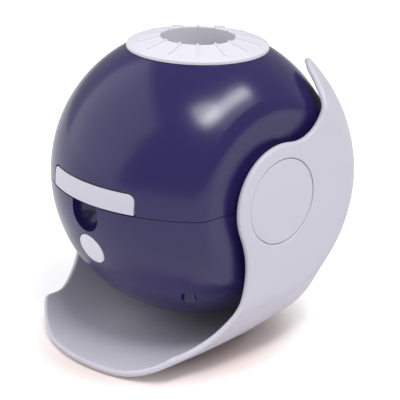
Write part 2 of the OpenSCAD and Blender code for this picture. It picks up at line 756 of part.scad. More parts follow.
module disc_carrier() color(part_black) at_pivot() difference() {
  union() {
    translate([0, 0, carrier_z]) rotate([0, 0, 90]) linear_extrude(carrier_t)
      gear_outline(gear_r, carrier_teeth);
    translate([0, 0, tray_z + 0.4]) cylinder(r = spigot_r, h = carrier_z - tray_z);
  }
  translate([0, 0, tray_z - 1]) cylinder(r = disc_r - 1.4, h = 10);
  translate([0, 0, disc_z]) cylinder(r = disc_r + fit_gap, h = 10);
}
module star_disc() color("midnightblue") at_pivot() translate([0, 0, disc_z])
  cylinder(r = disc_r, h = disc_t);

module tray_plate() color(part_black) at_pivot() intersection() {
  ball_form(front_t);
  translate([0, 0, tray_z]) linear_extrude(tray_t) difference() {
    translate([-plate_half, -ball_r]) square([2 * plate_half, ball_r + rail_len - 2]);
    circle(spigot_r + run_gap);
    difference() {
      translate([-plate_half + 6, 0]) square([2 * plate_half - 12, ball_r]);
      circle(gear_r + 1.5);
    }
  }
}

module tray_front() color(cap_grey) at_pivot() difference() {
  intersection() {
    ball_form(0);
    towards_front() front_outline(0);
    above(seam_z + slide_gap);
  }
  ball_form(front_t);
}

// ---- focus ring, lens barrel and lenses ----

// A low cone round the lens hole, with rounded edges, a skirt in the ball's well and a sleeve in its neck.
module focus_ring() color(ring_white) at_pivot() {
  cone_start = ring_hole_r + ring_lip_r;
  cone_end = ring_r - edge_round;
  cone_end_z = edge_centre_z + edge_round;
  slope = atan((ring_top_z - cone_end_z) / (cone_end - cone_start));
  rib_len = cone_end - cone_start - 3.6;
  rotate_extrude() {
    polygon([[ring_hole_r, sleeve_end_z], [ring_hole_r, ring_top_z - ring_lip_r], [cone_start, ring_top_z],
      [cone_end + edge_round * sin(slope), cone_end_z - edge_round * (1 - cos(slope))],
      [ring_r, edge_centre_z], [ring_r, ring_edge_z], [skirt_r, ball_z(skirt_r) + slide_gap],
      [skirt_r, shelf_z + slide_gap], [skirt_r - 1.8, shelf_z + slide_gap],
      [skirt_r - 1.8, ring_edge_z - 0.4], [sleeve_r, ring_top_z - 2.6], [sleeve_r, sleeve_end_z]]);
    translate([cone_start, ring_top_z - ring_lip_r]) circle(ring_lip_r);
    translate([cone_end, cone_end_z - edge_round]) circle(edge_round);
  }
  for (i = [1:ring_ribs]) rotate([0, 0, ring_turn + 360 * i / ring_ribs])
    translate([cone_start, 0, ring_top_z]) rotate([0, slope, 0])
    translate([0, 0, -0.8]) linear_extrude(0.8 + rib_rise) {
      translate([0, -rib_w / 2]) square([rib_len, rib_w]);
      for (x = [0, rib_len]) translate([x, 0]) circle(rib_w / 2);
    }
}

module focus_retainer() color(part_black) at_pivot() translate([0, 0, sleeve_end_z - retainer_t])
  tube(sleeve_r + 3.4, barrel_r + 0.4, retainer_t);

module lens_barrel() color(part_black) at_pivot() difference() {
  union() {
    translate([0, 0, barrel_z]) cylinder(r = barrel_r, h = barrel_len);
    intersection() {
      translate([-guide_r - guide_wall, -key_w / 2, barrel_z])
        cube([2 * (guide_r + guide_wall), key_w, key_h]);
      translate([0, 0, barrel_z]) cylinder(r = guide_r + guide_wall - 0.5, h = key_h);
    }
  }
  translate([0, 0, barrel_z - 1]) cylinder(r = barrel_bore_r - 1.5, h = barrel_len + 2);
  translate([0, 0, rear_lens_z]) cylinder(r = barrel_bore_r, h = barrel_len);
}

// A lens with a flat rim and a dome on each side, standing on its rim.
module lens(rim, up, down) {
  cylinder(r = lens_r, h = rim);
  translate([0, 0, rim]) dome(lens_r - 2.2, up);
  mirror([0, 0, 1]) dome(lens_r - 2.2, down);
}
module rear_lens() color(lens_clear) at_pivot() translate([0, 0, rear_lens_z]) lens(3, 1.8, 1.8);
module front_lens() color(lens_clear) at_pivot() translate([0, 0, front_lens_z]) lens(3.5, 2.5, 1.2);
module lens_spacer() color(part_black) at_pivot() translate([0, 0, rear_lens_z + 3])
  tube(lens_r, lens_r - 1.4, front_lens_z - rear_lens_z - 3);
module lens_retainer() color(part_black) at_pivot() translate([0, 0, front_lens_z + 3.5])
  tube(lens_r, lens_r - 1.8, 2.5);

// ---- electrics ----

module main_board() color(board_green) at_pivot() translate([-board_half + fit_gap, board_y, board_low_z])
  cube([2 * (board_half - fit_gap), board_t, -8.5 - board_low_z]);

module power_socket() color(part_black) at_pivot() translate([0, board_y + board_t, -socket_drop])
  difference() {
  union() {
    translate([-4.5, 0, -5.5]) cube([9, socket_body, 11]);
    rotate([-90, 0, 0]) cylinder(r = socket_nose_r, h = socket_body + 2.5);
  }
  difference() {
    translate([0, socket_body - 7, 0]) rotate([-90, 0, 0]) cylinder(r = 2.75, h = 20);
    translate([0, socket_body - 8, 0]) rotate([-90, 0, 0]) cylinder(r = 1, h = 9);
  }
}

module switch_places() for (side = [-1, 1]) translate([side * switch_post_x, 0, 0]) children();
module switch_board() color(board_green) at_pivot() at_button()
  translate([0, 0, switch_top - switch_h - switch_board_t]) difference() {
    translate([-switch_post_x - 3, -6, 0]) cube([2 * switch_post_x + 6, 12, switch_board_t]);
    switch_places() translate([0, 0, -1]) cylinder(r = 1, h = 4);
  }
module tact_switch() color(part_black) at_pivot() at_button() difference() {
  translate([-3, -3, switch_top - switch_h]) cube([6, 6, switch_h]);
  translate([0, 0, switch_top - switch_h + 0.8]) cylinder(r = plunger_r + run_gap, h = switch_h);
}
module switch_screws() color(metal_grey) at_pivot() at_button()
  switch_places() translate([0, 0, switch_top - switch_h - switch_board_t]) screw(1.8, 0.85, 6);
module switch_plunger() color("white") at_pivot() at_button()
  translate([0, 0, switch_top - 1.7]) cylinder(r = plunger_r, h = plunger_proud + 1.7);

module power_button() color(ring_white) at_pivot() at_button() difference() {
  union() {
    intersection() {
      translate([0, 0, button_flange_z]) cylinder(r = button_r, h = ball_r);
      sphere(ball_r + 0.3);
    }
    translate([0, 0, button_flange_z]) cylinder(r = collar_r - 0.2, h = button_flange_t);
    translate([0, 0, switch_top + plunger_proud]) cylinder(r = 2.2, h = 10);
  }
  translate([0, 0, button_flange_z - 1]) tube(button_r - 1.4, 2.2, ball_r - 2.8 - button_flange_z);
}

cradle();
rubber_feet();
left_pivot_bush();
right_pivot_bush();
left_pivot_cap();
right_pivot_cap();
upper_shell();
lower_shell();
left_pivot_hub();
right_pivot_hub();
hub_clips();
friction_washers();
shell_screws();
deck();
tray_guides();
optics_tower();
deck_screws();
lamp_housing();
condenser_lens();
led_board();
led_emitter();
heat_sink();
lamp_screws();
motor();
motor_bracket();
motor_pinion();
main_board();
power_socket();
switch_board();
tact_switch();
switch_screws();
power_button();
switch_plunger();
focus_ring();
focus_retainer();
lens_barrel();
front_lens();
rear_lens();
lens_spacer();
lens_retainer();
tray_plate();
tray_front();
disc_carrier();
star_disc();
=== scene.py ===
import math

import bpy
import numpy as np
from mathutils import Matrix, Vector


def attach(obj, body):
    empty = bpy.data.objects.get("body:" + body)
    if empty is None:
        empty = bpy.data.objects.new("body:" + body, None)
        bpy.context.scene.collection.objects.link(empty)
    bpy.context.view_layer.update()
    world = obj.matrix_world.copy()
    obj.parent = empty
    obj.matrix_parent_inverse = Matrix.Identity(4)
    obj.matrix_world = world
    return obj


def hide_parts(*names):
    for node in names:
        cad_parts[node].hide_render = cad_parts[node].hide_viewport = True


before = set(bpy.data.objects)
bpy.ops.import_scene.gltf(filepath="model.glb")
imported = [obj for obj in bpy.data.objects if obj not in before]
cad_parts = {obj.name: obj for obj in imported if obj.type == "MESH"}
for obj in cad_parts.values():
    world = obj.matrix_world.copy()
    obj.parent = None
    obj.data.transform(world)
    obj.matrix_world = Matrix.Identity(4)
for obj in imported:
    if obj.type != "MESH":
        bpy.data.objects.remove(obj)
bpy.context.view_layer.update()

scene = bpy.context.scene
mm = 0.001
ball = {"middle": (0.0, -0.3175, 87.4), "radius": 75.0}  # the tilt axis runs through its middle, along X
print("frame loaded:", len(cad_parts), "nodes")

# The camera looks along an azimuth and an elevation, then turns a little so that the
# ball's middle falls on a named place of the picture. Pixels are of a 400 pixel picture.
camera = {
    "azimuth": 46.345, "elevation": 19.091, "roll": 1.412, "distance": 805.5,
    "focal": 1539.08, "aim": (193.94, 169.03), "picture": 400}


# The matrix of a turn about a named axis, by an angle in radians.
def turned(axis, angle):
    return np.array(Matrix.Rotation(angle, 3, axis))


# Right, down and forward of a level camera, turned by yaw = atan(dx / f),
# pitch = atan(dy / f * cos yaw) and the roll.
def placeCamera(c):
    a, e = math.radians(c["azimuth"]), math.radians(c["elevation"])
    back = np.array([math.sin(a) * math.cos(e), -math.cos(a) * math.cos(e), math.sin(e)])
    right = np.array([math.cos(a), math.sin(a), 0.0])
    dx, dy = c["aim"][0] - c["picture"] / 2, c["aim"][1] - c["picture"] / 2
    yaw = math.atan(dx / c["focal"])
    pitch = math.atan(dy / c["focal"] * math.cos(yaw))
    level = np.array([right, np.cross(right, back), -back])
    rows = turned("Z", math.radians(c["roll"])) @ turned("Y", yaw) @ turned("X", -pitch) @ level
    spot = (np.array(ball["middle"]) + back * c["distance"]) * mm
    data = bpy.data.cameras.new("camera")
    data.sensor_width = 36
    data.lens = c["focal"] * data.sensor_width / c["picture"]
    data.clip_start, data.clip_end = 0.05, 20  # metres
    cam = bpy.data.objects.new("camera", data)
    scene.collection.objects.link(cam)
    axes = [[rows[0][i], -rows[1][i], -rows[2][i], spot[i]] for i in range(3)]
    cam.matrix_world = Matrix(axes + [[0, 0, 0, 1]])
    scene.camera = cam


placeCamera(camera)
print("camera placed")


# sRGB hex to linear: c / 12.92 up to 0.04045, above it ((c + 0.055) / 1.055) ** 2.4.
def linear(code):
    parts = [int(code[i:i + 2], 16) / 255 for i in (1, 3, 5)]
    return [c / 12.92 if c <= 0.04045 else ((c + 0.055) / 1.055) ** 2.4 for c in parts] + [1.0]


# Adds a node, sets its properties and inputs, and links inputs to the outputs of other nodes.
def add(tree, kind, links=None, inputs=None, **settings):
    node = tree.nodes.new(kind)
    for key, value in settings.items():
        setattr(node, key, value)
    for key, value in (inputs or {}).items():
        node.inputs[key].default_value = value
    for key, source in (links or {}).items():
        tree.links.new(node.inputs[key], source)
    return node


# A new material, and its node tree without any node.
def emptyMaterial(name):
    mat = bpy.data.materials.new(name)
    mat.use_nodes = True
    mat.node_tree.nodes.clear()
    return mat, mat.node_tree


# Most values of a noise lie in this range, so the gloss runs over its whole swing.
noiseLow, noiseHigh = 0.3, 0.7


# Moulded plastic: the colour drifts over 26 mm as the melt flowed, and the spark-eroded mould leaves a
# fine grain that shows in the gloss and as tiny bumps. The real grain of 0.1 mm is too fine to show, so
# it is drawn at 0.55 mm. Lengths are in millimetres.
def moulded(name, colour, drift, rough, ior=1.46, grain=0.55, depth=0.012, flow=26.0, swing=0.03):
    mat, tree = emptyMaterial(name)
    place = add(tree, "ShaderNodeTexCoord").outputs["Object"]
    slow = add(tree, "ShaderNodeTexNoise", {"Vector": place}, {"Scale": 1 / (flow * mm), "Detail": 2.0})
    fine = add(tree, "ShaderNodeTexNoise", {"Vector": place}, {"Scale": 1 / (grain * mm), "Detail": 2.0})
    tint = add(tree, "ShaderNodeMix", {0: slow.outputs["Fac"]}, {6: linear(drift), 7: linear(colour)},
               data_type="RGBA")
    gloss = add(tree, "ShaderNodeMapRange", {0: fine.outputs["Fac"]},
                {1: noiseLow, 2: noiseHigh, 3: rough - swing, 4: rough + swing})
    bump = add(tree, "ShaderNodeBump", {"Height": fine.outputs["Fac"]}, {"Distance": depth * mm})
    shader = add(tree, "ShaderNodeBsdfPrincipled",
                 {"Base Color": tint.outputs[2], "Roughness": gloss.outputs[0], "Normal": bump.outputs[0]},
                 {"IOR": ior})
    add(tree, "ShaderNodeOutputMaterial", {0: shader.outputs[0]})
    return mat


# Metal: colour and gloss vary in clouds, at the size of the plating's crystals or the tumbled patches.
def plated(name, colour, drift, rough, cloud, swing=0.06):
    mat, tree = emptyMaterial(name)
    place = add(tree, "ShaderNodeTexCoord").outputs["Object"]
    fine = add(tree, "ShaderNodeTexNoise", {"Vector": place}, {"Scale": 1 / (cloud * mm), "Detail": 3.0})
    tint = add(tree, "ShaderNodeMix", {0: fine.outputs["Fac"]}, {6: linear(drift), 7: linear(colour)},
               data_type="RGBA")
    gloss = add(tree, "ShaderNodeMapRange", {0: fine.outputs["Fac"]},
                {1: noiseLow, 2: noiseHigh, 3: rough - swing, 4: rough + swing})
    shader = add(tree, "ShaderNodeBsdfPrincipled",
                 {"Base Color": tint.outputs[2], "Roughness": gloss.outputs[0]}, {"Metallic": 1.0})
    add(tree, "ShaderNodeOutputMaterial", {0: shader.outputs[0]})
    return mat


# Clear plastic: polished all round, so light bends through it and only its rims and highlights show.
def clear(name, colour, rough, ior=1.49):
    mat, tree = emptyMaterial(name)
    shader = add(tree, "ShaderNodeBsdfPrincipled", None, {
        "Base Color": linear(colour), "Roughness": rough, "IOR": ior, "Transmission Weight": 1.0})
    add(tree, "ShaderNodeOutputMaterial", {0: shader.outputs[0]})
    return mat


# A dark film with clear pinholes: one dot sits in each cell of a Voronoi pattern, and its radius is a
# share of the cell, from none to a fifth by a random number of that cell, so that the stars differ.
def starFilm(name, cell, largest=0.2, rough=0.22, ior=1.5):
    mat, tree = emptyMaterial(name)
    place = add(tree, "ShaderNodeTexCoord").outputs["Object"]
    cells = add(tree, "ShaderNodeTexVoronoi", {"Vector": place},
                {"Scale": 1 / (cell * mm), "Randomness": 1.0}, voronoi_dimensions="3D")
    size = add(tree, "ShaderNodeSeparateColor", {0: cells.outputs["Color"]})
    reach = add(tree, "ShaderNodeMath", {0: size.outputs[0]}, {1: largest}, operation="MULTIPLY")
    dot = add(tree, "ShaderNodeMath", {0: cells.outputs["Distance"], 1: reach.outputs[0]},
              operation="LESS_THAN")
    tint = add(tree, "ShaderNodeMix", {0: dot.outputs[0]}, {6: linear("#171a33"), 7: linear("#e9ecf6")},
               data_type="RGBA")
    shader = add(tree, "ShaderNodeBsdfPrincipled", {"Base Color": tint.outputs[2]},
                 {"Roughness": rough, "IOR": ior})
    add(tree, "ShaderNodeOutputMaterial", {0: shader.outputs[0]})
    return mat


# The ball comes from a nearly polished mould: one bright, soft-edged highlight on a deep colour.
shellPlastic = moulded("ABS moulded satin indigo", "#29205a", "#251d4f", 0.21, depth=0.008)
# The pale pieces come from grained moulds: even and chalky, with only a wide, weak sheen.
standPlastic = moulded("ABS moulded satin lavender grey", "#cfccd9", "#cbc8d5", 0.42)
trimPlastic = moulded("ABS moulded satin pale grey", "#cfcdd9", "#cac8d5", 0.4)
ringPlastic = moulded("ABS moulded satin white", "#dfdde7", "#dad8e2", 0.38)
buttonPlastic = moulded("ABS moulded matt pale white", "#dedce6", "#dad8e3", 0.42)
# Silicone rubber takes the dull skin of a sand-blasted mould and hardly shines.
rubber = moulded("silicone rubber moulded black", "#2a2a2e", "#232327", 0.72, grain=0.8, depth=0.03)
# Nylon's inner pieces are plainly finished: dark, with a broad dull gloss that shows their edges.
nylon = moulded("nylon moulded black", "#2b2b31", "#242429", 0.5, grain=0.7, depth=0.02)
# Acetal is waxy and milky, a little glossier than the nylon.
acetal = moulded("acetal moulded natural", "#eceae4", "#e4e2dc", 0.38, grain=0.7)
# Pressed fibre looks dry, and its matted hairs roughen it.
fibre = moulded("fibre washer pressed", "#3a3836", "#302e2d", 0.85, grain=0.4, depth=0.05)
# Solder mask is a glossy lacquer, which the weave under it makes faintly wavy.
board = moulded("glass epoxy board with green solder mask", "#1f6b45", "#1a5f3d", 0.33, grain=1.6,
                depth=0.02)
phosphor = moulded("LED phosphor cast in silicone", "#e7c64a", "#dcb93c", 0.3)  # a smooth yellow drop
# Zinc plating gives a cool grey with a clouded gloss, and tumbling an even, soft one. The clouds of
# 1.5 and 1 mm are a few times coarser than the real ones, which would be too fine to show.
steel = plated("steel zinc plated", "#c3c6cc", "#aeb2b9", 0.32, 1.5)
aluminium = plated("aluminium turned and tumbled", "#c9ccd1", "#b7bbc2", 0.36, 1.0)
acrylic = clear("acrylic moulded and polished", "#f3f7fa", 0.02)  # as clear as glass, barely cool
film = starFilm("polyester film printed with pinholes", 2.2)  # glossy night sky, a star each 2.2 mm

# The finish of each CAD node, also of those that the pieces below stand for.
finishes = {
    shellPlastic: ["upper_shell", "lower_shell"],
    standPlastic: ["cradle"],
    trimPlastic: ["left_pivot_cap", "right_pivot_cap", "tray_front"],
    ringPlastic: ["focus_ring", "led_board"],
    buttonPlastic: ["power_button"],
    rubber: ["rubber_feet"],
    nylon: ["deck", "tray_guides", "optics_tower", "lens_barrel", "focus_retainer", "lens_spacer",
            "lens_retainer", "tray_plate", "disc_carrier", "power_socket", "tact_switch"],
    acetal: ["left_pivot_bush", "right_pivot_bush", "motor_pinion", "switch_plunger"],
    steel: ["hub_clips", "shell_screws", "deck_screws", "lamp_screws", "switch_screws", "motor_bracket",
            "motor"],
    aluminium: ["left_pivot_hub", "right_pivot_hub", "lamp_housing", "heat_sink"],
    board: ["main_board", "switch_board"],
    acrylic: ["condenser_lens", "front_lens", "rear_lens"],
    phosphor: ["led_emitter"],
    film: ["star_disc"],
    fibre: ["friction_washers"],
}
for mat, names in finishes.items():
    for name in names:
        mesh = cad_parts[name].data
        mesh.materials.clear()
        mesh.materials.append(mat)
print("materials made:", len(finishes))


# Makes an object from points in millimetres about the ball's middle, smooth but for its sharp edges.
def makeObject(name, points, faces, mat, sharp=35):
    mesh = bpy.data.meshes.new(name)
    mesh.from_pydata((points + np.array(ball["middle"])) * mm, [], faces)
    mesh.materials.append(mat)
    mesh.shade_smooth()
    mesh.set_sharp_from_angle(angle=math.radians(sharp))
    mesh.update()
    obj = bpy.data.objects.new(name, mesh)
    scene.collection.objects.link(obj)
    return obj


# Lets a piece move with its body and stand for the CAD node of the same part.
def takeOver(obj, node, body):
    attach(obj, body)
    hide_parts(node)


# Quads between neighbouring rows and columns of point numbers.
def quads(ids):
    return np.stack([ids[:-1, :-1], ids[:-1, 1:], ids[1:, 1:], ids[1:, :-1]], 2).reshape(-1, 4)


# Even angles round a full turn.
def around(count):
    return np.linspace(0, 2 * math.pi, count + 1)[:-1]


# A profile (radius, height) turned about Z: (radius * cos a, radius * sin a, height + rise). A closed
# profile wraps round. In an open one, whose ends lie on the axis, each end becomes one point with a fan
# of triangles.
def revolve(profile, angles, closed, rise=0):
    count = angles.shape[-1]
    radius, height = np.repeat(profile[:, :1], count, 1), np.repeat(profile[:, 1:], count, 1) + rise
    grid = np.stack([radius * np.cos(angles), radius * np.sin(angles), height], 2)
    ids = np.arange(grid.shape[0] * grid.shape[1]).reshape(grid.shape[:2])
    ids = np.hstack([ids, ids[:, :1]])
    if closed:
        return grid.reshape(-1, 3), quads(np.vstack([ids, ids[:1]])).tolist()
    points = np.vstack([grid[1:-1].reshape(-1, 3), [[0, 0, profile[0, 1]], [0, 0, profile[-1, 1]]]])
    ids = ids[1:-1] - count
    first, last = len(points) - 2, len(points) - 1
    low = [(first, b, a) for a, b in zip(ids[0, :-1], ids[0, 1:])]
    high = [(last, a, b) for a, b in zip(ids[-1, :-1], ids[-1, 1:])]
    return points, low + quads(ids).tolist() + high


# A round plate about Z, from one height to another.
def plate(radius, low, high, angles):
    return revolve(np.array([(0, low), (radius, low), (radius, high), (0, high)]), angles, False)


# Points of an arc: centre + radius * (cos, sin) from one angle in degrees to another.
def arc(centre, radius, start, end, count):
    t = np.radians(np.linspace(start, end, count))
    return np.stack([centre[0] + radius * np.cos(t), centre[1] + radius * np.sin(t)], 1)


# Lengths are in millimetres and places are from the ball's middle, here and in the pieces below.
cradle = {
    "backRadius": 83.1, "armX": 64.0, "fillet": 10.0, "floorZ": -86.6, "wall": 3.2,
    "frontY": -87.5, "baseBack": 25.7, "cornerFront": 42.0, "cornerBack": 58.0, "heel": 21.4,
    "reach": 79.5, "lipZ": -73.6, "lug": 30.0, "scoop": 44.0, "scoopZ": -33.0, "scoopGap": 0.2,
    "toe": 16.0, "bend": 19.5, "bendY": 9.2, "hornSlope": 66.0, "hornZ": 60.5, "hornTip": 5.0,
    "notch": 22.0, "notchTop": 33.0, "notchDrop": 44.0,
    "rows": 181, "columns": 141, "loop": 3200, "edge": 1.3, "softness": 1.8, "eye": (0.0, 0.0, -10.0),
    "boss": 26.1, "bossX": 59.0, "bore": 11.5, "seat": 19.5, "webX": 60.8, "recess": 22.4, "capX": 62.6,
    "recessEdge": 0.45, "stop": 22.5, "stopHalf": 1.7, "stopX": 60.4, "stopFrom": -15, "stopTo": 40,
    "sunk": 0.5}


# How far the full form reaches along each direction n, which is the largest of three heights: the
# ball-shaped back with its flat, filleted sides, the belly, whose lower corners grow by the cube of the
# way to the back, and the belly's rounded heel.
def formHeight(n, c):
    flat = c["armX"] - c["fillet"]
    ring = np.sqrt((c["backRadius"] - c["fillet"]) ** 2 - flat ** 2)
    nx, ny, nz = np.abs(n[..., 0]), n[..., 1], n[..., 2]
    nr = np.hypot(ny, nz)
    back = np.where(nx * ring <= nr * flat, c["backRadius"], flat * nx + ring * nr + c["fillet"])
    grow = np.hypot(nx, nz) - nx + nz
    span, swell = c["baseBack"] - c["frontY"], c["cornerBack"] - c["cornerFront"]
    t = np.sqrt(np.maximum(ny, 0) * span / np.maximum(-3 * swell * grow, 1e-9))
    t = np.where(ny > 0, np.clip(t, 0, 1), 0)
    belly = c["armX"] * nx + c["floorZ"] * nz + (c["frontY"] + span * t) * ny
    belly = belly + (c["cornerFront"] + swell * t ** 3) * grow
    heel = c["armX"] * nx + c["baseBack"] * ny + c["floorZ"] * nz
    heel = heel + c["cornerBack"] * grow + c["heel"] * (1 - np.hypot(nx, nz))
    return np.maximum(np.maximum(back, belly), heel)


# Evenly spread unit vectors: heights in equal steps, each turned on by the golden angle.
def spread(count):
    i = np.arange(count) + 0.5
    z = 1 - 2 * i / count
    a = math.pi * (1 + math.sqrt(5)) * i
    return np.stack([np.sqrt(1 - z * z) * np.cos(a), np.sqrt(1 - z * z) * np.sin(a), z], 1)


# Where a ray leaves the form: the least (height(n) - n.o) / (n.d) over all normals n, found among
# spread normals and then in ever smaller patches round the best. Normals that the ray only grazes are
# passed over. Gives the points and the normals there.
def castOut(o, d, c, coarse=4000, rounds=9, patch=5, shrink=0.45, never=1e9):
    o, d = [np.ascontiguousarray(v, float) for v in np.broadcast_arrays(o, d)]
    d = d / np.linalg.norm(d, axis=1, keepdims=True)
    tries = spread(coarse)
    height = formHeight(tries, c)
    best = []
    for part in np.array_split(np.arange(len(d)), len(d) // 2000 + 1):
        along = d[part] @ tries.T
        room = (height - o[part] @ tries.T) / np.maximum(along, 0.02)
        best.append(np.argmin(np.where(along > 0.02, room, never), 1))
    n = tries[np.concatenate(best)]
    gx, gy = [g.ravel()[:, None] for g in np.meshgrid(*[np.linspace(-1, 1, patch)] * 2)]
    step = 1.2 * math.sqrt(4 * math.pi / coarse)  # a little over the angle between spread normals
    for k in range(rounds):
        e = np.cross(n, np.where(np.abs(n[:, 2:]) > 0.8, [[1.0, 0, 0]], [[0, 0, 1.0]]))
        e = e / np.linalg.norm(e, axis=1, keepdims=True)
        tries = n[:, None] + step * (gx * e[:, None] + gy * np.cross(n, e)[:, None])
        tries = tries / np.linalg.norm(tries, axis=2, keepdims=True)
        along = np.einsum("mkj,mj->mk", tries, d)
        room = (formHeight(tries, c) - np.einsum("mkj,mj->mk", tries, o)) / np.maximum(along, 1e-4)
        room = np.where(along > 1e-4, room, never)
        pick = np.argmin(room, 1)
        n = tries[np.arange(len(d)), pick]
        step *= shrink
    return o + d * room[np.arange(len(d)), pick][:, None], n


# The side outline (y, z) from the front of the lip, up the toe, the scoop, the lug, the bend and the
# horn's slope to its rounded tip.
def sideOutline(c, frontY):
    scoopY = -math.sqrt((c["scoop"] + c["lug"] + c["scoopGap"]) ** 2 - c["scoopZ"] ** 2)
    runOut = math.degrees(math.acos((c["toe"] + c["lipZ"] - c["scoopZ"]) / (c["toe"] - c["scoop"])))
    s, k = math.radians(runOut), math.radians(c["hornSlope"])
    toToe = c["scoop"] - c["toe"]
    toe = (scoopY + toToe * math.sin(s), c["scoopZ"] - toToe * math.cos(s))
    bendZ = math.sqrt((c["lug"] + c["bend"]) ** 2 - c["bendY"] ** 2)
    edge = (c["bendY"] + c["bend"] * math.sin(k), bendZ - c["bend"] * math.cos(k))
    tipY = edge[0] + (c["hornZ"] - edge[1]) / math.tan(k)
    tip = (tipY + c["hornTip"] * math.tan(k / 2), c["hornZ"] - c["hornTip"])
    toLug = math.degrees(math.atan2(-c["scoopZ"], -scoopY))
    toBend = math.degrees(math.atan2(bendZ, c["bendY"]))
    return np.vstack([
        [[frontY, c["lipZ"]]],
        arc(toe, c["toe"], -90, runOut - 90, 40),
        arc((scoopY, c["scoopZ"]), c["scoop"], runOut - 90, toLug, 120),
        arc((0, 0), c["lug"], toLug + 180, toBend, 160)[1:],
        arc((c["bendY"], bendZ), c["bend"], toBend - 180, c["hornSlope"] - 90, 60)[1:],
        arc(tip, c["hornTip"], c["hornSlope"] + 90, 90, 20)])


# Points at even steps along a polyline, read linearly at their run from its start.
def evenly(line, count):
    run = np.concatenate([[0], np.cumsum(np.linalg.norm(np.diff(line, axis=0), axis=1))])
    at = np.linspace(0, run[-1], count)
    return np.stack([np.interp(at, run, line[:, i]) for i in range(line.shape[1])], 1)


# The shell's edge on the form, right half, from the middle of the front to the middle of the notch,
# as three stretches: the lip's plan arc, the side outline with the horn's top, and the notch.
def edgeLines(c, count=400, sideCount=700, bellyZ=-60.0, behindY=70.0):
    a = np.radians(np.linspace(0, 60, count))
    o = np.stack([c["reach"] * np.sin(a), -c["reach"] * np.cos(a), np.full(count, bellyZ)], 1)
    front = castOut(o, [0, 0, -1], c)[0]
    front = front[:np.argmax(front[:, 2] > c["lipZ"])]
    side = evenly(sideOutline(c, front[-1, 1]), sideCount)
    side = castOut(np.insert(side, 0, 0.0, axis=1), [1, 0, 0], c)[0]
    o = np.stack([np.zeros(count), np.linspace(side[-1, 1], behindY, count), np.full(count, c["hornZ"])], 1)
    top = castOut(o, [1, 0, 0], c)[0]
    top = top[:np.argmax(top[:, 0] < c["notchTop"])]
    line = np.vstack([[[c["notchTop"], c["hornZ"]]],
                      arc((0, c["notch"] - c["notchDrop"]), c["notch"], 0, -90, 60)])
    notch = castOut(np.insert(evenly(line, count), 1, 0.0, axis=1), [0, 1, 0], c)[0]
    return front, np.vstack([side, top[1:]]), notch


# Seen from inside the form, a unit direction (x, y, z) lands on a plane at (x, y) / (1 - z).
def toPlane(p, eye):
    d = (p - eye) / np.linalg.norm(p - eye, axis=-1, keepdims=True)
    return d[..., :2] / (1 - d[..., 2:])


# And back: (2q, q.q - 1) / (1 + q.q).
def fromPlane(q):
    s = (q ** 2).sum(-1, keepdims=True)
    return np.concatenate([2 * q, s - 1], -1) / (1 + s)


# Fills a four-sided patch from its edges: first blends opposite edges, then relaxes the grid with
# Winslow's equation, alpha * q_uu - 2 * beta * q_uv + gamma * q_vv = 0 with alpha = q_v.q_v,
# beta = q_u.q_v and gamma = q_u.q_u, whose lines never fold. Each step is a coarseness and its rounds.
def fillPatch(low, high, left, right, steps=((6, 500), (3, 500), (1, 400))):
    rows, columns = len(left), len(low)
    q = None
    for level, count in steps:
        m, n = (rows - 1) // level + 1, (columns - 1) // level + 1
        pick = lambda line, k: line[np.linspace(0, len(line) - 1, k).round().astype(int)]
        l, h, a, b = pick(low, n), pick(high, n), pick(left, m), pick(right, m)
        s, t = np.linspace(0, 1, n)[None, :, None], np.linspace(0, 1, m)[:, None, None]
        if q is None:
            q = (1 - t) * l[None] + t * h[None] + (1 - s) * a[:, None] + s * b[:, None]
            q = q - ((1 - s) * (1 - t) * l[0] + s * (1 - t) * l[-1] + (1 - s) * t * h[0] + s * t * h[-1])
        else:
            q = resample(q, m, n)
        q[0], q[-1], q[:, 0], q[:, -1] = l, h, a, b
        for k in range(count):
            dv, du = (q[2:, 1:-1] - q[:-2, 1:-1]) / 2, (q[1:-1, 2:] - q[1:-1, :-2]) / 2
            alpha, gamma = (dv ** 2).sum(2, keepdims=True), (du ** 2).sum(2, keepdims=True)
            beta = (du * dv).sum(2, keepdims=True)
            cross = (q[2:, 2:] - q[2:, :-2] - q[:-2, 2:] + q[:-2, :-2]) / 4
            total = alpha * (q[1:-1, 2:] + q[1:-1, :-2]) + gamma * (q[2:, 1:-1] + q[:-2, 1:-1])
            q[1:-1, 1:-1] = (total - 2 * beta * cross) / (2 * (alpha + gamma) + 1e-12)
    return q


# A grid read at new even steps, linearly along rows and then along columns.
def resample(q, rows, columns):
    v, u = np.linspace(0, len(q) - 1, rows), np.linspace(0, q.shape[1] - 1, columns)
    i, j = np.minimum(v.astype(int), len(q) - 2), np.minimum(u.astype(int), q.shape[1] - 2)
    fv, fu = (v - i)[:, None, None], (u - j)[None, :, None]
    q = q[i] * (1 - fv) + q[i + 1] * fv
    return q[:, j] * (1 - fu) + q[:, j + 1] * fu


# Smooths a closed loop of evenly spaced points with a Gaussian: its Fourier term of wave number k is
# multiplied by exp(-2 * (pi * k * width)^2).
def soften(loop, width):
    step = np.linalg.norm(loop[1] - loop[0])
    waves = np.fft.fftfreq(len(loop), step)
    keep = np.exp(-2 * (math.pi * waves * width) ** 2)[:, None]
    return np.real(np.fft.ifft(np.fft.fft(loop, axis=0) * keep, axis=0))


# Across a loop and along the surface: the normal crossed with the step from the last point to the next.
def outwardEdge(loop, normals):
    along = np.roll(loop, -1, axis=0) - np.roll(loop, 1, axis=0)
    side = np.cross(normals, along)
    return side / np.linalg.norm(side, axis=1, keepdims=True)


# A strip of quads that joins the ring of an outer grid to that of an inner one, over rows of rim points.
def rimStrip(ring, rim, count):
    first = 2 * count + np.arange(rim.shape[0] * rim.shape[1]).reshape(rim.shape[:2])
    strip = np.vstack([ring, first, ring + count])
    return quads(np.hstack([strip, strip[:, :1]]))


